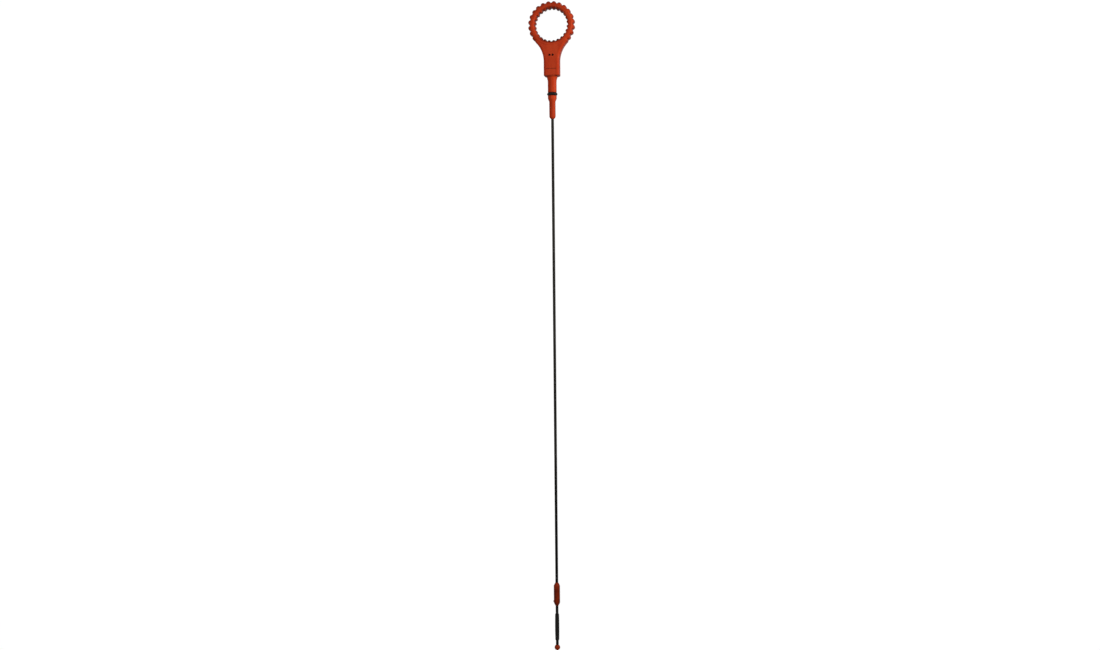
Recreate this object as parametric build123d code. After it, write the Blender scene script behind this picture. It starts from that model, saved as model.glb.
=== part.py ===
from build123d import *
import math
import os

# Engine oil dipstick, in millimetres. It lies along Y, with the finger ring at +Y and +Z up.
# The origin is on the wire's axis, in the plane of the stop shoulder under the handle's block.

# Finger ring: a rounded band, with a row of beads round its rim and another round its hole
bead_count = 24
ring_height = 51.5
ring_radius = 23.5
ring_thickness = 12.0
ring_edge = 3.0
hole_radius = 15.6
rim_bead_depth = 2.1
hole_bead_depth = 1.9

# Neck and block: the neck sweeps from the ring into the flat block
flare_radius = 27.0
block_width = 15.8
block_thickness = 11.2
block_edge = 2.6
foot_edge = 1.2

# Marks moulded into the front face: two pin holes and one cross groove
pin_hole_radius = 1.0
pin_hole_depth = 2.5
pin_hole_spacing = 3.1
pin_hole_height = 20.8
groove_height = 7.2
groove_width = 0.6
groove_depth = 0.3

# Sealing plug: a swept collar under the stop shoulder, the seal's groove and a tapered nose
plug_radius = 4.4
collar_flare = 1.4
collar_lip = 1.0
collar_length = 5.9
plug_wall = 10.3
nose_wall = 3.1
nose_taper = 2.9

# Seal: a round cord ring in a square groove
seal_groove_depth = 1.6
seal_cord_radius = 1.2
seal_floor_clearance = 0.05
seal_side_clearance = 0.25

# Spigot: the long sleeve of the moulding that grips the wire, with a domed end
spigot_radius = 3.15
spigot_length = 17.6

# Wire: pressed flat inside the block to hold it there, and near its lower end for the blade
wire_radius = 1.4
free_length = 463.2
anchor_height = 9.0
anchor_length = 9.0
anchor_spread = 1.4
anchor_stub = 2.0
blade_length = 27.2
blade_end_spread = 1.1
blade_middle_spread = 1.46
press_ramp = 1.0
press_crown = 0.06

# Guide sleeve: moulded on the wire above the blade, with a stub left by its gate
sleeve_length = 23.0
sleeve_radius = 3.1
sleeve_taper = 3.0
sleeve_end_wall = 0.2
sleeve_to_blade = 7.3
sleeve_edge = 0.4
gate_radius = 0.6
gate_stand = 0.55
gate_height = 4.4

# Tip ball: moulded on the wire's end, with a stub left by its gate underneath
blade_to_ball = 4.0
ball_radius = 2.8
wire_in_ball = 3.4
tip_stub_radius = 0.95
tip_stub_stand = 0.5

# A rounding takes up no more than this share of the wall it is on
rounding_share = 0.45

# Places along the wire, as distances below the stop shoulder
seal_half_width = seal_cord_radius + seal_side_clearance
seal_top = collar_length + plug_wall
seal_drop = seal_top + seal_half_width
seal_bottom = seal_drop + seal_half_width
nose_top = seal_bottom + nose_wall
spigot_top = nose_top + nose_taper
spigot_end = spigot_top + spigot_length
sleeve_top = spigot_end + free_length
sleeve_bottom = sleeve_top + sleeve_length
blade_top = sleeve_bottom + sleeve_to_blade
blade_bottom = blade_top + blade_length
ball_top = blade_bottom + blade_to_ball
ball_centre = ball_top + ball_radius
wire_end = ball_top + wire_in_ball

ring_centre = Vector(0, ring_height, 0)
band_radius = (ring_radius + hole_radius) / 2
band_width = ring_radius - hole_radius
bead_pitch = 360 / bead_count

# The neck's sweep starts along the block's side and would touch the rim, at an angle from its bottom
flare_x = block_width / 2 + flare_radius
flare_reach = ring_radius + flare_radius
flare_rise = math.sqrt(flare_reach**2 - flare_x**2)
flare_y = ring_height - flare_rise
touch_turn = math.degrees(math.atan2(flare_x, flare_rise))

# It stops short of that, on the crest of a bead
beads_in_neck = math.floor(touch_turn / bead_pitch - 0.5)
join_turn = bead_pitch * (beads_in_neck + 0.5)
join_slack = math.radians(touch_turn - join_turn)
join_offset = flare_reach * math.sin(join_slack)
join_radius = flare_reach * math.cos(join_slack) - math.sqrt(flare_radius**2 - join_offset**2)
join_y = ring_height - join_radius * math.cos(math.radians(join_turn))
sweep_turn = math.degrees(math.asin((join_y - flare_y) / flare_radius))


def at_turn(radius, turn):
    """Point at a radius and an angle in degrees."""
    angle = math.radians(turn)
    return (radius * math.cos(angle), radius * math.sin(angle))


def ring_segment(rim_depth):
    """One bead's length of the ring, about the angle 0: its plan outline cut through its section."""
    half = bead_pitch / 2
    rim_valley = ring_radius - rim_depth
    hole_valley = hole_radius + hole_bead_depth
    edge = min(ring_edge, rounding_share * band_width, rounding_share * ring_thickness)
    section = Plane.XZ * Pos(band_radius, 0) * RectangleRounded(band_width, ring_thickness, edge)
    bar = extrude(section, ring_radius * math.tan(math.radians(half)), both=True)
    outline = [
        ThreePointArc(at_turn(rim_valley, -half), (ring_radius, 0), at_turn(rim_valley, half)),
        Line(at_turn(rim_valley, half), at_turn(hole_valley, half)),
        ThreePointArc(at_turn(hole_valley, half), (hole_radius, 0), at_turn(hole_valley, -half)),
        Line(at_turn(hole_valley, -half), at_turn(rim_valley, -half)),
    ]
    plan = extrude(make_face(outline), ring_thickness / 2, both=True)
    return plan & bar


# The rim has no beads where it runs into the neck
beaded = ring_segment(rim_bead_depth)
plain = ring_segment(0)
segments = []
for i in range(bead_count):
    turn = bead_pitch * (i + 0.5)
    in_neck = min(i, bead_count - 1 - i) < beads_in_neck
    segment = plain if in_neck else beaded
    segments.append(Pos(ring_centre) * Rot(Z=turn - 90) * segment)
ring = segments[0].fuse(*segments[1:])

# Neck: a flat plate between the block and the ring, with its swept edges rounded
sweep = JernArc((block_width / 2, flare_y), (0, 1), flare_radius, -sweep_turn)
join = sweep @ 1
band_start = ring_centre + (join - ring_centre).normalized() * band_radius
band_bottom = ring_centre - Vector(0, band_radius, 0)
band_end = Vector(-band_start.X, band_start.Y, 0)
neck_outline = [
    sweep,
    Line(join, band_start),
    ThreePointArc(band_start, band_bottom, band_end),
    Line(band_end, (-join.X, join.Y)),
    mirror(sweep, Plane.YZ),
    Line((-block_width / 2, flare_y), (block_width / 2, flare_y)),
]
neck = extrude(make_face(neck_outline), block_thickness / 2, both=True)
arcs = neck.edges().filter_by(GeomType.CIRCLE)
swept_edges = arcs.filter_by(lambda e: math.isclose(e.radius, flare_radius))
neck = fillet(swept_edges, block_edge)

# Block: a rounded bar under the neck, with its foot rounded round the stop shoulder
block = extrude(Plane.ZX * RectangleRounded(block_thickness, block_width, block_edge), flare_y)
block = fillet(block.faces().sort_by(Axis.Y)[0].edges(), foot_edge)

# Plug and spigot: one turned outline from the collar to the domed end
collar_radius = plug_radius + collar_flare
seal_floor = plug_radius - seal_groove_depth
dome_top = spigot_end - spigot_radius
stem_outline = [
    Line((0, collar_lip), (collar_radius - collar_lip, collar_lip)),
    TangentArc((collar_radius - collar_lip, collar_lip), (collar_radius, 0), tangent=(1, 0)),
    TangentArc((plug_radius, -collar_length), (collar_radius, 0), tangent=(0, 1)),
    Polyline(
        (plug_radius, -collar_length),
        (plug_radius, -seal_top),
        (seal_floor, -seal_top),
        (seal_floor, -seal_bottom),
        (plug_radius, -seal_bottom),
        (plug_radius, -nose_top),
        (spigot_radius, -spigot_top),
        (spigot_radius, -dome_top),
    ),
    TangentArc((spigot_radius, -dome_top), (0, -spigot_end), tangent=(0, -1)),
    Line((0, -spigot_end), (0, collar_lip)),
]
stem = revolve(make_face(stem_outline), Axis.Y)

# Pin holes and cross groove in the front face
front = Plane.XY.offset(block_thickness / 2)
pin = Cylinder(pin_hole_radius, 2 * pin_hole_depth)
pin_places = [-pin_hole_spacing / 2, pin_hole_spacing / 2]
pin_holes = [front * Pos(x, pin_hole_height) * pin for x in pin_places]
groove_length = block_width - 2 * block_edge
groove = front * Pos(0, groove_height) * Box(groove_length, groove_width, 2 * groove_depth)


def pressed_section(spread, station):
    """Section of the wire pressed wider by a spread, with its area kept, at a place along Y."""
    width = 2 * wire_radius + spread
    corner = 1 - math.pi / 4
    area = math.pi * wire_radius**2
    thickness = (width - math.sqrt(width**2 - 4 * corner * area)) / (2 * corner)
    side = thickness / 2 - press_crown
    flat = width / 2 - thickness / 2
    return four_arcs(width / 2, thickness / 2, flat, side, station)


def round_section(station):
    """Section of the round wire, in the same four arcs as a pressed one."""
    diagonal = wire_radius * math.sqrt(0.5)
    return four_arcs(wire_radius, wire_radius, diagonal, diagonal, station)


def four_arcs(half_width, half_height, corner_x, corner_z, station):
    """Closed section of two side arcs and two face arcs."""
    outline = [
        ThreePointArc((corner_x, -corner_z), (half_width, 0), (corner_x, corner_z)),
        ThreePointArc((corner_x, corner_z), (0, half_height), (-corner_x, corner_z)),
        ThreePointArc((-corner_x, corner_z), (-half_width, 0), (-corner_x, -corner_z)),
        ThreePointArc((-corner_x, -corner_z), (0, -half_height), (corner_x, -corner_z)),
    ]
    return Plane.XZ.offset(station) * make_face(outline)


def pressed_length(top, bottom, end_spread, middle_spread):
    """The pressed part of the wire between two places, with a ramp at each end."""
    upper = pressed_section(end_spread, top + press_ramp)
    middle = pressed_section(middle_spread, (top + bottom) / 2)
    lower = pressed_section(end_spread, bottom - press_ramp)
    return loft([round_section(top), upper, middle, lower, round_section(bottom)], ruled=True)


def round_length(top, bottom):
    """Round wire between two distances below the stop shoulder."""
    return extrude(Plane.XZ.offset(top) * Circle(wire_radius), bottom - top)


# Wire rod, from its stub above the anchor to its end in the ball
anchor_bottom = -anchor_height
anchor_top = anchor_bottom - anchor_length
rod = round_length(anchor_top - anchor_stub, anchor_top).fuse(
    pressed_length(anchor_top, anchor_bottom, anchor_spread, anchor_spread),
    round_length(anchor_bottom, blade_top),
    pressed_length(blade_top, blade_bottom, blade_end_spread, blade_middle_spread),
    round_length(blade_bottom, wire_end),
)

# Handle: one moulding over the wire
handle = ring.fuse(neck, block, stem)
handle = handle.cut(groove, *pin_holes)
handle = handle.cut(rod)

# Seal: it stands off the groove's floor by its clearance
seal_radius = seal_floor + seal_floor_clearance + seal_cord_radius
seal = Pos(0, -seal_drop, 0) * Rot(X=90) * Torus(seal_radius, seal_cord_radius)

# Guide sleeve: a turned outline with tapered ends, a gate stub at its side and the wire through it
sleeve_end_radius = wire_radius + sleeve_end_wall
sleeve_outline = Polyline(
    (0, -sleeve_top),
    (sleeve_end_radius, -sleeve_top),
    (sleeve_radius, -sleeve_top - sleeve_taper),
    (sleeve_radius, -sleeve_bottom + sleeve_taper),
    (sleeve_end_radius, -sleeve_bottom),
    (0, -sleeve_bottom),
    close=True,
)
sleeve = revolve(make_face(sleeve_outline), Axis.Y)
rims = sleeve.edges().filter_by(GeomType.CIRCLE)
sleeve = fillet(rims.filter_by(lambda e: math.isclose(e.radius, sleeve_radius)), sleeve_edge)
gate_reach = sleeve_radius + gate_stand
gate_place = Plane((0, gate_height - sleeve_bottom, 0), x_dir=(0, 1, 0), z_dir=(-1, 0, 0))
gate = extrude(gate_place * Circle(gate_radius), gate_reach)
sleeve = sleeve.fuse(gate).cut(rod)

# Tip ball
ball = Pos(0, -ball_centre, 0) * Sphere(ball_radius)
stub_place = Plane.XZ.offset(ball_centre)
tip_stub = extrude(stub_place * Circle(tip_stub_radius), ball_radius + tip_stub_stand)
ball = ball.fuse(tip_stub).cut(rod)

os.makedirs("parts", exist_ok=True)
export_step(handle, "parts/handle.step")
export_step(seal, "parts/o_ring.step")
export_step(rod, "parts/rod.step")
export_step(sleeve, "parts/guide_sleeve.step")
export_step(ball, "parts/tip_ball.step")
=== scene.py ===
import math

import bmesh
import bpy
from mathutils import Matrix, Vector


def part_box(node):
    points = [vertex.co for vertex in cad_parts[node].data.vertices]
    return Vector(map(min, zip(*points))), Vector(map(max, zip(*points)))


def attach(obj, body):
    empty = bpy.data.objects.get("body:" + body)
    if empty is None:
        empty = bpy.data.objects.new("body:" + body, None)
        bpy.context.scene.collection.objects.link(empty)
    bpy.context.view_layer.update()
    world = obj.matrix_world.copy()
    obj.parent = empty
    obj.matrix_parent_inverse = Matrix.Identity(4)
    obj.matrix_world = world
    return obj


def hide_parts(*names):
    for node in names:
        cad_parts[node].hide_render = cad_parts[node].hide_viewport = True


# Engine oil dipstick: the looks of its pieces, in metres, in the frame of its solids
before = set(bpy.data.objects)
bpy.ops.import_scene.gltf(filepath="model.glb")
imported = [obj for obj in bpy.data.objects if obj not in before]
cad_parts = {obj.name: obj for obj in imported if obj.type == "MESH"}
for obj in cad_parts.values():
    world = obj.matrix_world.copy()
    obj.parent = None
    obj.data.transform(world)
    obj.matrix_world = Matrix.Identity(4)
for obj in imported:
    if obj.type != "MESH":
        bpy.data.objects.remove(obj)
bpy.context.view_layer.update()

MM = 0.001

# Finger ring: a crowned band, with beads all round its hole, and round its rim but for the neck
bead_count = 24
beads_in_neck = 6
ring_y = 51.5 * MM
rim_radius = 23.5 * MM
rim_valley = 21.6 * MM
hole_radius = 15.6 * MM
hole_valley = 17.1 * MM
ring_thickness = 12.0 * MM
band_edge = 1.5 * MM
band_crown = 2.1 * MM
rim_bead = 2.5 * MM
rim_bead_drop = 1.2 * MM
hole_bead = 1.65 * MM
hole_bead_drop = 2.0 * MM

# Neck and block
flare_radius = 27.0 * MM
block_width = 15.8 * MM
block_thickness = 11.2 * MM
block_edge = 2.6 * MM
foot_edge = 1.2 * MM

# Notch between the neck and the first bead, by its radius and its angle from the ring's lowest point
notch_radius = 22.7 * MM
notch_turn = math.radians(47)

# Marks in the block's front face
pin_radius = 1.0 * MM
pin_depth = 2.5 * MM
pin_spacing = 3.1 * MM
pin_y = 20.8 * MM
groove_y = 7.2 * MM
groove_length = 10.6 * MM
groove_width = 0.6 * MM
groove_depth = 0.3 * MM

# Plug and spigot, as distances below the stop shoulder
plug_radius = 4.4 * MM
collar_radius = 5.8 * MM
collar_lip = 1.0 * MM
collar_length = 5.9 * MM
seal_top = 16.2 * MM
seal_bottom = 19.1 * MM
seal_floor = 2.8 * MM
nose_top = 22.2 * MM
spigot_top = 25.1 * MM
spigot_radius = 3.15 * MM
stem_edge = 0.16 * MM

# Seal: a round cord, with the flash that its mould leaves
seal_cord = 1.2 * MM
seal_flash = 0.05 * MM
seal_line_width = 0.01 * MM

# Wire, pressed wider at its anchor and its blade
wire_radius = 1.4 * MM
anchor_bottom = 9.0 * MM
anchor_top = 18.0 * MM
anchor_spread = 1.4 * MM
blade_length = 27.2 * MM
blade_to_ball = 4.0 * MM
blade_end_spread = 1.1 * MM
blade_middle_spread = 1.46 * MM
press_ramp = 1.0 * MM

# Guide sleeve and tip ball
sleeve_taper = 3.0 * MM
sleeve_end_wall = 0.2 * MM
sleeve_radius = 3.1 * MM
sleeve_edge = 0.4 * MM
gate_radius = 0.6 * MM
gate_edge = 0.2 * MM
gate_stand = 0.55 * MM
gate_above_end = 4.4 * MM
ball_radius = 2.8 * MM
stub_radius = 0.95 * MM
stub_edge = 0.2 * MM

# How finely the grip's forms are fused, and how far they are softened
fuse_size = 0.30 * MM
soften_share = 0.5
soften_passes = 1

# Distance under which two points are taken as one
same_place = 0.001 * MM

# How far painted shade covers each place on the handle, from 0 to 1, with a darkening toward the ring's
# top and dirt on the spigot
lit_hole_shade = 0.35
shaded_hole_shade = 0.65
lip_shade = 0.95
lit_rim_shade = 0.25
unlit_rim_shade = 0.65
ring_top_darkening = 0.18
foot_shade = 0.50
seal_groove_shade = 0.85
spigot_dirt = 0.14

# Table top and even light
table_size = 6.0
table_tone = 0.12
table_glow = 0.95
fill_strength = 0.18

# Places that the values above and the solids give
bead_pitch = 2 * math.pi / bead_count
band_middle = (rim_valley + hole_valley) / 2
rod_low, rod_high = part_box("rod")
seal_low, seal_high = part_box("o_ring")
sleeve_low, sleeve_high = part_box("guide_sleeve")
ball_low, ball_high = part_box("tip_ball")
spigot_end = -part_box("handle")[0].y
blade_bottom = ball_high.y + blade_to_ball
blade_top = blade_bottom + blade_length


# Modelling tools

def deselect_all():
    """Leaves edit mode and drops the selection, so that an operator acts on its own piece alone."""
    if bpy.context.mode != "OBJECT":
        bpy.ops.object.mode_set(mode="OBJECT")
    bpy.ops.object.select_all(action="DESELECT")


def work_on(piece, mode="OBJECT"):
    """Makes a piece the one that operators act on."""
    deselect_all()
    piece.select_set(True)
    bpy.context.view_layer.objects.active = piece
    bpy.ops.object.mode_set(mode=mode)


def named(name):
    """Names the primitive just added, with its place set in its mesh."""
    bpy.ops.object.transform_apply(location=True, rotation=True, scale=True)
    piece = bpy.context.object
    piece.name = name
    piece.data.name = name
    return piece


def bar(name, size, middle):
    """A square-edged bar of a size in X, Y and Z."""
    deselect_all()
    bpy.ops.mesh.primitive_cube_add(size=1, location=middle)
    bpy.context.object.scale = size
    return named(name)


def peg(name, radius, length, middle, segments, turn=(0, 0, 0)):
    """A round peg, along Z unless it is turned."""
    deselect_all()
    bpy.ops.mesh.primitive_cylinder_add(
        vertices=segments,
        radius=radius,
        depth=length,
        location=middle,
        rotation=turn,
    )
    return named(name)


def disc(name, place, radius, segments):
    """A disc across the Y axis, in edit mode, to be drawn out along it."""
    deselect_all()
    bpy.ops.mesh.primitive_circle_add(
        vertices=segments,
        radius=radius,
        fill_type="NGON",
        location=(0, place, 0),
        rotation=(math.pi / 2, 0, 0),
    )
    piece = named(name)
    work_on(piece, "EDIT")
    return piece


def pick(kind, test):
    """Selects, in edit mode, the vertices, edges or faces whose middle passes a test."""
    bpy.ops.mesh.select_mode(type=kind)
    bpy.ops.mesh.select_all(action="DESELECT")
    data = bpy.context.object.data
    mesh = bmesh.from_edit_mesh(data)
    parts = {"VERT": mesh.verts, "EDGE": mesh.edges, "FACE": mesh.faces}[kind]
    for part in parts:
        corners = [part] if kind == "VERT" else part.verts
        middle = sum((corner.co for corner in corners), Vector()) / len(corners)
        part.select_set(test(middle))
    mesh.select_flush_mode()
    bmesh.update_edit_mesh(data)


def pick_end(place):
    """Selects the end face at a place along Y."""
    pick("FACE", lambda p: abs(p.y - place) < same_place)


def draw_out(step):
    """Extrudes the selected faces by a step in X, Y and Z."""
    bpy.ops.mesh.extrude_region_move(TRANSFORM_OT_translate={"value": step})


def widen(place, share):
    """Scales the selected section at a place along Y, about that axis."""
    bpy.ops.transform.resize(value=(share, 1, share), center_override=(0, place, 0))


def pull_apart(place, amount):
    """Moves the two sides of the section at a place along Y away from each other."""
    for side in (-1, 1):
        pick("VERT", lambda p: abs(p.y - place) < same_place and side * p.x > same_place)
        bpy.ops.transform.translate(value=(side * amount, 0, 0))


def modify(piece, kind, **settings):
    """Adds a modifier to a piece and applies it."""
    work_on(piece)
    modifier = piece.modifiers.new(kind.lower(), kind)
    for name, value in settings.items():
        setattr(modifier, name, value)
    bpy.ops.object.modifier_apply(modifier=modifier.name)


def round_edges(piece, width, segments, least_angle):
    """Rounds the edges at which a piece turns by more than an angle in degrees."""
    limit = math.radians(least_angle)
    modify(piece, "BEVEL", width=width, segments=segments, limit_method="ANGLE", angle_limit=limit)


def closed(piece):
    """Merges a piece's doubled points, drops faces without area and turns the rest outwards."""
    work_on(piece, "EDIT")
    bpy.ops.mesh.select_all(action="SELECT")
    bpy.ops.mesh.remove_doubles(threshold=same_place)
    bpy.ops.mesh.dissolve_degenerate(threshold=same_place)
    bpy.ops.mesh.normals_make_consistent(inside=False)
    bpy.ops.object.mode_set(mode="OBJECT")


def combine(piece, other, operation):
    """Joins another solid to a piece, or cuts it away."""
    modify(piece, "BOOLEAN", object=other, operation=operation, solver="EXACT")
    bpy.data.objects.remove(other)
    closed(piece)


def arc(middle, radius, start, end, steps):
    """Stations on an arc about a middle (place, radius), from one angle to another in degrees."""
    turns = [math.radians(start + (end - start) * i / steps) for i in range(steps + 1)]
    return [(middle[0] + radius * math.sin(t), middle[1] + radius * math.cos(t)) for t in turns]


def turned(name, stations, segments):
    """A piece turned about the Y axis: a disc drawn out through stations of place and radius."""
    place, radius = stations[0]
    piece = disc(name, place, radius, segments)
    bpy.ops.mesh.select_all(action="SELECT")
    for next_place, next_radius in stations[1:]:
        draw_out((0, next_place - place, 0))
        widen(next_place, next_radius / radius)
        place, radius = next_place, next_radius
    closed(piece)
    return piece


# Pieces

def ring_band():
    """The ring's band: a section with tall rounded corners, spun about the ring's middle."""
    squash = band_edge / band_crown
    deselect_all()
    bpy.ops.mesh.primitive_plane_add(
        size=1,
        location=(band_middle, ring_y, 0),
        rotation=(math.pi / 2, 0, 0),
    )
    bpy.context.object.scale = (rim_valley - hole_valley, ring_thickness * squash, 1)
    band = named("ring_band")
    work_on(band, "EDIT")
    bpy.ops.mesh.select_all(action="SELECT")
    bpy.ops.mesh.bevel(offset=band_edge, segments=6, affect="VERTICES")
    bpy.ops.mesh.delete(type="ONLY_FACE")
    bpy.ops.mesh.select_all(action="SELECT")
    bpy.ops.transform.resize(value=(1, 1, 1 / squash), center_override=(0, ring_y, 0))
    bpy.ops.mesh.spin(steps=144, angle=2 * math.pi, center=(0, ring_y, 0), axis=(0, 0, 1))
    closed(band)
    return band


def bead_row(name, middle, bead_radius, drop, count):
    """Beads at a middle radius, from the neck's left side on round the ring, lower than its faces."""
    first_turn = -math.pi / 2 - bead_pitch * (beads_in_neck + 1) / 2
    first = (middle * math.cos(first_turn), ring_y + middle * math.sin(first_turn), 0)
    deselect_all()
    bpy.ops.mesh.primitive_uv_sphere_add(segments=24, ring_count=16, radius=bead_radius, location=first)
    beads = named(name)
    work_on(beads, "EDIT")
    stretch = ring_thickness / 2 - drop - bead_radius
    for side in (-1, 1):
        pick("FACE", lambda p: side * p.z > 0)
        draw_out((0, 0, side * stretch))
    bpy.ops.mesh.select_all(action="SELECT")
    bpy.ops.mesh.spin(
        steps=count - 1,
        dupli=True,
        angle=bead_pitch * (count - 1),
        center=(0, ring_y, 0),
        axis=(0, 0, 1),
    )
    closed(beads)
    return beads


def neck_and_block():
    """The block, drawn out along the neck's sweep to the rim, then by the notch to the ring's band."""
    sweep_x = block_width / 2 + flare_radius
    sweep_rise = math.sqrt((rim_radius + flare_radius) ** 2 - sweep_x**2)
    sweep_y = ring_y - sweep_rise
    sweep_turn = math.atan2(sweep_rise, sweep_x)
    sweep_steps = 12
    stations = []
    for i in range(1, sweep_steps + 1):
        turn = sweep_turn * i / sweep_steps
        station = sweep_y + flare_radius * math.sin(turn)
        stations.append((station, sweep_x - flare_radius * math.cos(turn)))
    for radius in (notch_radius, band_middle):
        stations.append((ring_y - radius * math.cos(notch_turn), radius * math.sin(notch_turn)))

    block = bar("block", (block_width, sweep_y, block_thickness), (0, sweep_y / 2, 0))
    work_on(block, "EDIT")
    pick("EDGE", lambda p: abs(p.y - sweep_y / 2) < same_place)
    bpy.ops.mesh.bevel(offset=block_edge, segments=8, affect="EDGES")
    place = sweep_y
    half_width = block_width / 2
    for next_place, next_half_width in stations:
        pick_end(place)
        draw_out((0, next_place - place, 0))
        pull_apart(next_place, next_half_width - half_width)
        place, half_width = next_place, next_half_width
    pick_end(0)
    bpy.ops.mesh.bevel(offset=foot_edge, segments=5, affect="EDGES")
    closed(block)
    ring_cut = peg("ring_cut", band_middle, 2 * ring_thickness, (0, ring_y, 0), segments=96)
    combine(block, ring_cut, "DIFFERENCE")
    return block


def stem():
    """Collar, plug and spigot, turned as one piece with the seal's groove in it."""
    flare = collar_radius - plug_radius
    sweep_radius = (flare**2 + collar_length**2) / (2 * flare)
    sweep_turn = math.degrees(math.asin(collar_length / sweep_radius))
    lip_middle = (0, collar_radius - collar_lip)
    sweep_middle = (-collar_length, plug_radius + sweep_radius)
    dome_middle = (math.sqrt(spigot_radius**2 - wire_radius**2) - spigot_end, 0)
    wire_turn = math.degrees(math.acos(wire_radius / spigot_radius))

    stations = [(2 * collar_lip, collar_radius - collar_lip)]
    stations += arc(lip_middle, collar_lip, start=90, end=0, steps=6)
    stations += arc(sweep_middle, sweep_radius, start=180 - sweep_turn, end=180, steps=8)[1:]
    stations += [
        (-seal_top, plug_radius),
        (-seal_top, seal_floor),
        (-seal_bottom, seal_floor),
        (-seal_bottom, plug_radius),
        (-nose_top, plug_radius),
        (-spigot_top, spigot_radius),
    ]
    stations += arc(dome_middle, spigot_radius, start=0, end=-wire_turn, steps=10)
    piece = turned("stem", stations, segments=96)
    round_edges(piece, stem_edge, segments=2, least_angle=25)
    return piece


def handle():
    """The moulding: ring, neck and block fused and softened, with the stem joined and the marks cut."""
    rim_middle = rim_radius - rim_bead
    hole_middle = hole_radius + hole_bead
    parts = [
        ring_band(),
        bead_row("rim_beads", rim_middle, rim_bead, rim_bead_drop, bead_count - beads_in_neck),
        bead_row("hole_beads", hole_middle, hole_bead, hole_bead_drop, bead_count),
        neck_and_block(),
    ]
    deselect_all()
    for part in parts:
        part.select_set(True)
    grip = parts[-1]
    bpy.context.view_layer.objects.active = grip
    bpy.ops.object.join()
    modify(grip, "REMESH", mode="VOXEL", voxel_size=fuse_size)
    modify(grip, "SMOOTH", factor=soften_share, iterations=soften_passes)
    combine(grip, stem(), "UNION")

    front = block_thickness / 2
    for side in (-1, 1):
        middle = (side * pin_spacing / 2, pin_y, front)
        combine(grip, peg("pin_cut", pin_radius, 2 * pin_depth, middle, segments=32), "DIFFERENCE")
    groove = bar("groove_cut", (groove_length, groove_width, 2 * groove_depth), (0, groove_y, front))
    combine(grip, groove, "DIFFERENCE")
    grip.name = "moulded_handle"
    grip.data.name = "moulded_handle"
    return grip


def seal_ring():
    """The seal: a round cord with the fine flash line that its mould leaves round it."""
    outside = (seal_high.x - seal_low.x) / 2
    place = (seal_low.y + seal_high.y) / 2
    deselect_all()
    bpy.ops.mesh.primitive_torus_add(
        major_segments=96,
        minor_segments=28,
        major_radius=outside - seal_cord,
        minor_radius=seal_cord,
        location=(0, place, 0),
        rotation=(math.pi / 2, 0, 0),
    )
    ring = named("seal_ring")

    def on_parting_line(p):
        outermost = math.hypot(p.x, p.z) > outside - seal_line_width
        return outermost and abs(p.y - place) < seal_line_width

    work_on(ring, "EDIT")
    pick("EDGE", on_parting_line)
    bpy.ops.mesh.bevel(offset=2 * seal_flash, segments=2, affect="EDGES")
    pick("VERT", on_parting_line)
    widen(place, 1 + seal_flash / outside)
    closed(ring)
    return ring


def pressed(spread):
    """Half thickness and side shift of the wire's section, pressed wider with its area kept."""
    width = 2 * wire_radius + spread
    corner = 1 - math.pi / 4
    area = math.pi * wire_radius**2
    thickness = (width - math.sqrt(width**2 - 4 * corner * area)) / (2 * corner)
    return thickness / 2, (width - thickness) / 2


def wire_rod():
    """The wire, drawn out from its top, with its sides pulled apart where it is pressed flat."""
    round_section = (wire_radius, 0)
    stations = [
        (anchor_top, round_section),
        (anchor_top - press_ramp, pressed(anchor_spread)),
        (anchor_bottom + press_ramp, pressed(anchor_spread)),
        (anchor_bottom, round_section),
        (blade_top, round_section),
    ]
    blade_steps = 8
    for i in range(blade_steps + 1):
        along = i / blade_steps
        bulge = 4 * along * (1 - along)
        spread = blade_end_spread + bulge * (blade_middle_spread - blade_end_spread)
        station = blade_top - press_ramp - along * (blade_length - 2 * press_ramp)
        stations.append((station, pressed(spread)))
    stations += [(blade_bottom, round_section), (rod_low.y, round_section)]

    rod = disc("wire_rod", rod_high.y, wire_radius, segments=32)
    place = rod_high.y
    half, shift = round_section
    for next_place, (next_half, next_shift) in stations:
        pick_end(place)
        draw_out((0, next_place - place, 0))
        pull_apart(next_place, -shift)
        pick_end(next_place)
        widen(next_place, next_half / half)
        pull_apart(next_place, next_shift)
        place, half, shift = next_place, next_half, next_shift
    closed(rod)
    return rod


def guide_sleeve():
    """The sleeve on the wire: a turned barrel with tapered ends and the stub of its gate."""
    end_radius = wire_radius + sleeve_end_wall
    stations = [
        (sleeve_high.y, end_radius),
        (sleeve_high.y - sleeve_taper, sleeve_radius),
        (sleeve_low.y + sleeve_taper, sleeve_radius),
        (sleeve_low.y, end_radius),
    ]
    sleeve = turned("guide_barrel", stations, segments=64)
    round_edges(sleeve, sleeve_edge, segments=4, least_angle=20)

    reach = sleeve_radius + gate_stand
    gate_middle = (-reach / 2, sleeve_low.y + gate_above_end, 0)
    gate = peg("gate_stub", gate_radius, reach, gate_middle, segments=24, turn=(0, math.pi / 2, 0))
    work_on(gate, "EDIT")
    pick("FACE", lambda p: p.x < -reach + same_place)
    bpy.ops.mesh.bevel(offset=gate_edge, segments=3, affect="EDGES")
    combine(sleeve, gate, "UNION")
    return sleeve


def tip_ball():
    """The ball on the wire's end, with the stub of its gate underneath."""
    middle = (ball_high.y - ball_radius, 0)
    wire_turn = math.degrees(math.acos(wire_radius / ball_radius))
    stub_turn = math.degrees(math.acos(stub_radius / ball_radius))
    stations = arc(middle, ball_radius, start=wire_turn, end=-stub_turn, steps=24)
    stations += [
        (ball_low.y + stub_edge, stub_radius),
        (ball_low.y, stub_radius - stub_edge),
    ]
    return turned("ball_tip", stations, segments=48)


# Finishes

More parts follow.
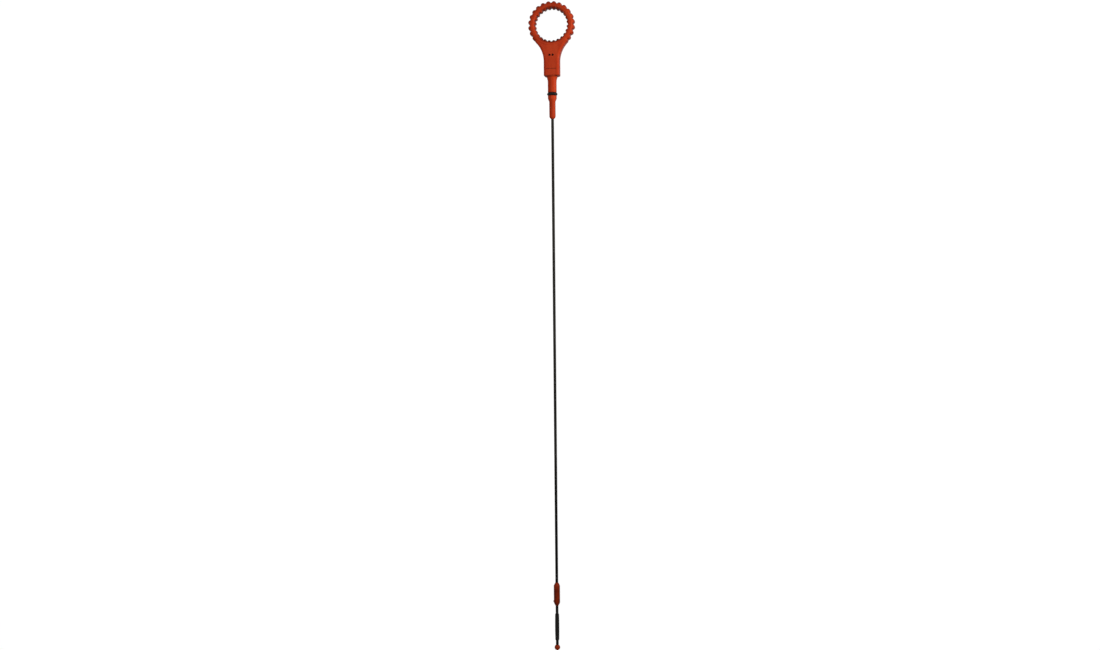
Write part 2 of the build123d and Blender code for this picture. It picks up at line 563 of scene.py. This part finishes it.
class Signal:
    """An output socket of a material's nodes, for use in Python expressions."""

    def __init__(self, tree, output):
        self.tree = tree
        self.output = output

    def node(self, kind, settings=(), sockets=(), out=0):
        """Adds a node, with its settings and then its sockets set, and gives one of its outputs."""
        made = self.tree.nodes.new(kind)
        for name, value in dict(settings).items():
            setattr(made, name, value)
        for name, value in dict(sockets).items():
            if isinstance(value, Signal):
                self.tree.links.new(value.output, made.inputs[name])
            else:
                made.inputs[name].default_value = value
        return Signal(self.tree, made.outputs[out]) if made.outputs else None

    def maths(self, operation, first, second):
        """A Math node on two values."""
        return self.node("ShaderNodeMath", {"operation": operation}, {0: first, 1: second})

    def __add__(self, other):
        return self.maths("ADD", self, other)

    def __radd__(self, other):
        return self.maths("ADD", other, self)

    def __sub__(self, other):
        return self.maths("SUBTRACT", self, other)

    def __rsub__(self, other):
        return self.maths("SUBTRACT", other, self)

    def __mul__(self, other):
        return self.maths("MULTIPLY", self, other)

    def __rmul__(self, other):
        return self.maths("MULTIPLY", other, self)

    def __abs__(self):
        return self.maths("ABSOLUTE", self, 0.0)

    def noise(self, scale, detail=2.0, roughness=0.5):
        """Noise over the surface, with so many grains to the metre."""
        sockets = {"Vector": self, "Scale": scale, "Detail": detail, "Roughness": roughness}
        return self.node("ShaderNodeTexNoise", {}, sockets)

    def stretched(self, scale):
        """The same places, drawn out by a scale for each axis."""
        return self.node("ShaderNodeMapping", {}, {"Vector": self, "Scale": scale})

    def span(self, point):
        """Distance from a point."""
        settings = {"operation": "DISTANCE"}
        return self.node("ShaderNodeVectorMath", settings, {0: self, 1: point}, out="Value")

    def axis(self, name):
        """One of the three coordinates."""
        return self.node("ShaderNodeSeparateXYZ", {}, {0: self}, out=name)

    def ramp(self, start, end):
        """A smooth step from 0 where this value is at a start to 1 where it is at an end."""
        sockets = {"Value": self, "From Min": start, "From Max": end}
        return self.node("ShaderNodeMapRange", {"interpolation_type": "SMOOTHSTEP"}, sockets)

    def blend(self, first, second):
        """One colour where this value is 0 and another where it is 1."""
        return self.node("ShaderNodeMix", {"data_type": "RGBA"}, {0: self, 6: first, 7: second}, out=2)

    def relief(self, strength, depth):
        """The surface's normal, with this value as a fine relief of a depth."""
        sockets = {"Strength": strength, "Distance": depth, "Height": self}
        return self.node("ShaderNodeBump", {}, sockets)


def new_finish(name):
    """A new material, its shader and the surface's own coordinates."""
    material = bpy.data.materials.new(name)
    material.use_nodes = True
    tree = material.node_tree
    shader = tree.nodes["Principled BSDF"]
    coordinates = tree.nodes.new("ShaderNodeTexCoord")
    return material, shader, Signal(tree, coordinates.outputs["Object"])


def feed(shader, **signals):
    """Links signals to the shader's sockets, and sets its plain values."""
    for name, value in signals.items():
        socket = shader.inputs[name.replace("_", " ")]
        if isinstance(value, Signal):
            value.tree.links.new(value.output, socket)
        else:
            socket.default_value = value


def colour(red, green, blue):
    """An opaque colour from its linear parts."""
    return (red, green, blue, 1.0)


def grey(level):
    """An opaque grey of a linear level."""
    return colour(level, level, level)


def moulded_plastic(name, fresh, worn, pale, grime_and_shade, dirt_and_shade):
    """Satin moulded plastic: flow marks and grain, pale scuffs and worn edges, specks and grime, with
    painted shade in its hollows and on its steep sides.
    """
    material, shader, place = new_finish(name)
    flow = place.stretched((1.0, 0.35, 1.0)).noise(scale=160.0, detail=3.0).ramp(0.35, 0.7)
    grain = place.noise(scale=3200.0)
    pores = place.noise(scale=900.0, detail=4.0, roughness=0.6)
    specks = place.noise(scale=1500.0, detail=5.0, roughness=0.7).ramp(0.60, 0.70)
    scratches = place.stretched((1.0, 0.06, 1.0)).noise(scale=1400.0, detail=4.0, roughness=0.65)
    scuffs = scratches.ramp(0.56, 0.68) * flow
    shape = place.node("ShaderNodeNewGeometry", out="Pointiness")
    edges = shape.ramp(0.52, 0.62) * pores.ramp(0.4, 0.65)
    crease_shade = shape.ramp(0.49, 0.43)
    facing = place.node("ShaderNodeNewGeometry", out="Normal").axis("Z")
    steep_side_shade = abs(facing).ramp(0.5, 0.05)

    base = (flow * 0.6 + pores.ramp(0.3, 0.8) * 0.4).blend(fresh, worn)
    base = (scuffs * 0.35 + edges * 0.35).blend(base, pale)
    base = (specks * 0.35).blend(base, grime_and_shade)
    # Painted shade: the grime colour laid into hollows and onto steep sides, where shade falls
    base = (crease_shade * 0.60).blend(base, grime_and_shade)
    base = (steep_side_shade * 0.45).blend(base, grime_and_shade)
    # Painted shade and dirt, as the given function spreads them
    base = (dirt_and_shade(place) * (0.65 + pores * 0.5)).blend(base, grime_and_shade)
    feed(
        shader,
        Base_Color=base,
        Roughness=0.40 + pores * 0.16 + scuffs * 0.15,
        Normal=(grain + pores * 0.8).relief(strength=0.3, depth=0.08 * MM),
        Specular_IOR_Level=0.05,
    )
    return material


def handle_shade_and_dirt(place):
    """Where the handle takes the grime colour, and how far it covers each place: painted shade in the
    hole, on the rim, at the block's foot, round the seal and in the pin holes, a darkening toward the
    ring's top, and dirt down the spigot.
    """
    plan = place.stretched((1.0, 1.0, 0.0))
    radius = plan.span((0, ring_y, 0))
    across = place.axis("X")
    along = place.axis("Y")

    # Painted shade between the hole's beads, heaviest on the right side, which faces away from the side
    # lamp, and on the hole's lip by the neck
    shaded = across.ramp(-6 * MM, 6 * MM)
    hole_share = lit_hole_shade + shaded * (shaded_hole_shade - lit_hole_shade)
    hole = radius.ramp(hole_valley + 0.3 * MM, hole_radius + 0.9 * MM) * hole_share
    by_neck = along.ramp(ring_y - 9 * MM, ring_y - 17 * MM)
    lip = radius.ramp(hole_valley + 3 * MM, hole_valley - 0.4 * MM) * by_neck * lip_shade

    # Painted shade on the rim's beads, lighter on the right side, where the side lamp falls, and a
    # darkening toward the ring's top
    above_neck = along.ramp(ring_y - 19 * MM, ring_y - 14 * MM)
    away_from_side_lamp = across.ramp(16 * MM, 4 * MM)
    rim_share = lit_rim_shade + away_from_side_lamp * (unlit_rim_shade - lit_rim_shade)
    rim = radius.ramp(rim_valley, rim_radius - 0.4 * MM) * above_neck * rim_share
    crown = along.ramp(ring_y + 4 * MM, ring_y + 20 * MM) * ring_top_darkening

    # Painted shade at the block's foot and in the groove on both sides of the seal, and dirt down the
    # spigot
    foot = along.ramp(1.5 * MM, 0.4 * MM) * along.ramp(-1.4 * MM, -0.4 * MM) * foot_shade
    from_seal = along + (seal_top + seal_bottom) / 2
    seal = abs(from_seal).ramp(2.2 * MM, 1.5 * MM) * seal_groove_shade
    spigot = along.ramp(-nose_top, -spigot_top) * spigot_dirt

    # Painted shade in the pin holes
    front = place.axis("Z").ramp(0, 2 * MM)
    pins = 0.0
    for side in (-1, 1):
        from_pin = plan.span((side * pin_spacing / 2, pin_y, 0))
        pins = pins + from_pin.ramp(pin_radius + 0.35 * MM, pin_radius)
    return hole + lip + rim + crown + foot + seal + spigot + pins * front


def soiled_guides(place):
    """Where oil has darkened the guides: in patches, and most on the sleeve below its upper taper."""
    along = place.axis("Y")
    below_taper = along.ramp(sleeve_high.y - 1 * MM, sleeve_high.y - 9 * MM)
    above_blade = along.ramp(blade_bottom, blade_top)
    patches = place.stretched((1.0, 0.45, 1.0)).noise(scale=330.0, detail=4.0, roughness=0.6)
    patches = patches.ramp(0.42, 0.62)
    return below_taper * above_blade * (0.2 + patches * 0.3) + patches * 0.15


def oxide_wire(name):
    """Drawn steel wire under a dark oxide, with rub marks and rust, an oily end and a wiped blade."""
    oxide = colour(0.008, 0.007, 0.006)
    rubbed_oxide = colour(0.040, 0.036, 0.030)
    rust_brown = colour(0.050, 0.022, 0.010)
    oil_black = grey(0.001)
    wiped_dark = grey(0.003)
    wiped_bright = colour(0.017, 0.016, 0.015)

    material, shader, place = new_finish(name)
    along = place.axis("Y")
    lines = place.stretched((1.0, 0.01, 1.0)).noise(scale=2600.0, detail=3.0)
    drawn = lines.ramp(0.3, 0.7)
    patches = place.stretched((1.0, 0.2, 1.0)).noise(scale=260.0, detail=4.0, roughness=0.6)
    rubbed = patches.ramp(0.5, 0.75) * lines.ramp(0.35, 0.7)
    rust = place.noise(scale=800.0, detail=5.0, roughness=0.7).ramp(0.60, 0.70)
    oiled = along.ramp(blade_top + 260 * MM, blade_top + 60 * MM)
    wiped = along.ramp(blade_top, blade_top - 2 * MM) * along.ramp(blade_bottom, blade_bottom + 2 * MM)

    base = (drawn * 0.4 + rubbed * 0.6).blend(oxide, rubbed_oxide)
    base = (rust * 0.5).blend(base, rust_brown)
    base = (oiled * 0.9).blend(base, oil_black)
    base = wiped.blend(base, drawn.blend(wiped_dark, wiped_bright))
    feed(
        shader,
        Base_Color=base,
        Metallic=0.10 - oiled * 0.10,
        Roughness=0.46 + lines * 0.12,
        Normal=(lines + patches * 0.5).relief(strength=0.2, depth=0.03 * MM),
        Specular_IOR_Level=0.04,
    )
    return material


def seal_rubber(name):
    """Black seal rubber, with a faint bloom and an oily sheen."""
    material, shader, place = new_finish(name)
    bloom = place.noise(scale=700.0, detail=4.0, roughness=0.6).ramp(0.45, 0.75)
    specks = place.noise(scale=4200.0)
    feed(
        shader,
        Base_Color=bloom.blend(grey(0.006), colour(0.014, 0.013, 0.012)),
        Roughness=0.44 + bloom * 0.14,
        Normal=specks.relief(strength=0.15, depth=0.03 * MM),
        Specular_IOR_Level=0.08,
    )
    return material


# The object

orange = moulded_plastic(
    "orange_moulding",
    fresh=colour(0.36, 0.024, 0.003),
    worn=colour(0.45, 0.043, 0.008),
    pale=colour(0.56, 0.085, 0.024),
    grime_and_shade=colour(0.040, 0.003, 0.001),
    dirt_and_shade=handle_shade_and_dirt,
)
# The guides' moulding: a darker copy of the handle's colours
brown = moulded_plastic(
    "darker_moulding",
    fresh=colour(0.19, 0.014, 0.002),
    worn=colour(0.28, 0.027, 0.004),
    pale=colour(0.36, 0.050, 0.014),
    grime_and_shade=colour(0.020, 0.002, 0.001),
    dirt_and_shade=soiled_guides,
)
dark_steel = oxide_wire("oxide_steel")
rubber = seal_rubber("seal_rubber")

# Each piece stands for a node of the solids. Its edges look sharp from an angle in degrees on.
for build, node, slot, finish, sharp_from in (
    (handle, "handle", "handle_plastic", orange, 35),
    (seal_ring, "o_ring", "seal_rubber", rubber, 60),
    (wire_rod, "rod", "wire_steel", dark_steel, 35),
    (guide_sleeve, "guide_sleeve", "guide_plastic", brown, 35),
    (tip_ball, "tip_ball", "guide_plastic", brown, 35),
):
    piece = build()
    work_on(piece)
    bpy.ops.object.shade_smooth_by_angle(angle=math.radians(sharp_from))
    for shown in (piece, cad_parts[node]):
        shown.data.materials.clear()
        shown.data.materials.append(finish)
    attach(piece, "root")
    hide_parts(node)


# Table top and light: white to the eye, and plain soft light on the object

def seen_rays(tree):
    """1 for rays that show a surface to the eye, straight on or in a reflection, and 0 for the rest."""
    path = tree.nodes.new("ShaderNodeLightPath")
    kinds = ("Camera", "Glossy", "Transmission")
    straight, glossy, through = [Signal(tree, path.outputs[f"Is {kind} Ray"]) for kind in kinds]
    return straight + glossy + through


def white_table(name):
    """A white table top: plain white to the eye but for shadows, and greyer as a bounce of light."""
    material = bpy.data.materials.new(name)
    material.use_nodes = True
    tree = material.node_tree
    tree.nodes.clear()
    seen = seen_rays(tree)
    paper = seen.node("ShaderNodeBsdfDiffuse", {}, {"Color": grey(table_tone)})
    glow = seen.node("ShaderNodeEmission", {}, {"Color": grey(1.0), "Strength": table_glow})
    white = seen.node("ShaderNodeAddShader", {}, {0: paper, 1: glow})
    mix = seen.node("ShaderNodeMixShader", {}, {0: seen, 1: paper, 2: white})
    seen.node("ShaderNodeOutputMaterial", {}, {"Surface": mix})
    return material


def studio_world(name):
    """An even fill of light, which shows as white."""
    world = bpy.data.worlds.new(name)
    world.use_nodes = True
    tree = world.node_tree
    tree.nodes.clear()
    seen = seen_rays(tree)
    fill = seen.node("ShaderNodeBackground", {}, {"Color": grey(1.0), "Strength": fill_strength})
    white = seen.node("ShaderNodeBackground", {}, {"Color": grey(1.0), "Strength": 1.0})
    mix = seen.node("ShaderNodeMixShader", {}, {0: seen, 1: fill, 2: white})
    seen.node("ShaderNodeOutputWorld", {}, {"Surface": mix})
    return world


def soft_lamp(name, place, target, size, power):
    """A round soft lamp at a place, turned to a target."""
    lamp = bpy.data.lights.new(name, "AREA")
    lamp.shape = "DISK"
    lamp.size = size
    lamp.energy = power
    holder = bpy.data.objects.new(name, lamp)
    bpy.context.scene.collection.objects.link(holder)
    holder.location = place
    holder.rotation_euler = (Vector(target) - Vector(place)).to_track_quat("-Z", "Y").to_euler()


# The dipstick rests on the ring's lower face and the guide sleeve
rest_ring = Vector((0, ring_y - rim_valley, -ring_thickness / 2))
rest_sleeve = Vector((0, sleeve_low.y + sleeve_taper, -sleeve_radius))
slope = math.atan2(rest_ring.z - rest_sleeve.z, rest_ring.y - rest_sleeve.y)
deselect_all()
bpy.ops.mesh.primitive_plane_add(size=table_size, location=rest_ring, rotation=(slope, 0, 0))
floor = named("table_top")
floor.data.materials.append(white_table("white_table"))

# A large lamp overhead and a low one on the right, by the handle
soft_lamp("top_lamp", place=(-0.15, -0.05, 1.25), target=(0, -0.20, 0), size=0.60, power=8.3)
soft_lamp("side_lamp", place=(0.68, 0.05, 0.18), target=(0, 0, 0), size=0.30, power=5.3)
bpy.context.scene.world = studio_world("studio")


# Camera: it looks down on the dipstick, a little from its right, with the handle at the top
view_distance = 1.40
view_width = 1.1005
view_middle = Vector((-4.47, -248.35, 0)) * MM
side_turn = math.radians(9.3)
lean = math.radians(0.53)

towards = Vector((math.sin(side_turn), 0, math.cos(side_turn)))
across = Vector((math.cos(side_turn), 0, -math.sin(side_turn)))
along = Vector((0, 1, 0))
right = math.cos(lean) * across - math.sin(lean) * along
up = math.sin(lean) * across + math.cos(lean) * along
facing = Matrix((right, up, towards)).transposed().to_4x4()
lens = bpy.data.cameras.new("camera")
lens.sensor_width = 36.0
lens.lens = lens.sensor_width * view_distance / view_width
camera = bpy.data.objects.new("camera", lens)
bpy.context.scene.collection.objects.link(camera)
camera.matrix_world = Matrix.Translation(view_middle + view_distance * towards) @ facing
bpy.context.scene.camera = camera
bpy.context.scene.view_settings.view_transform = "Standard"

deselect_all()
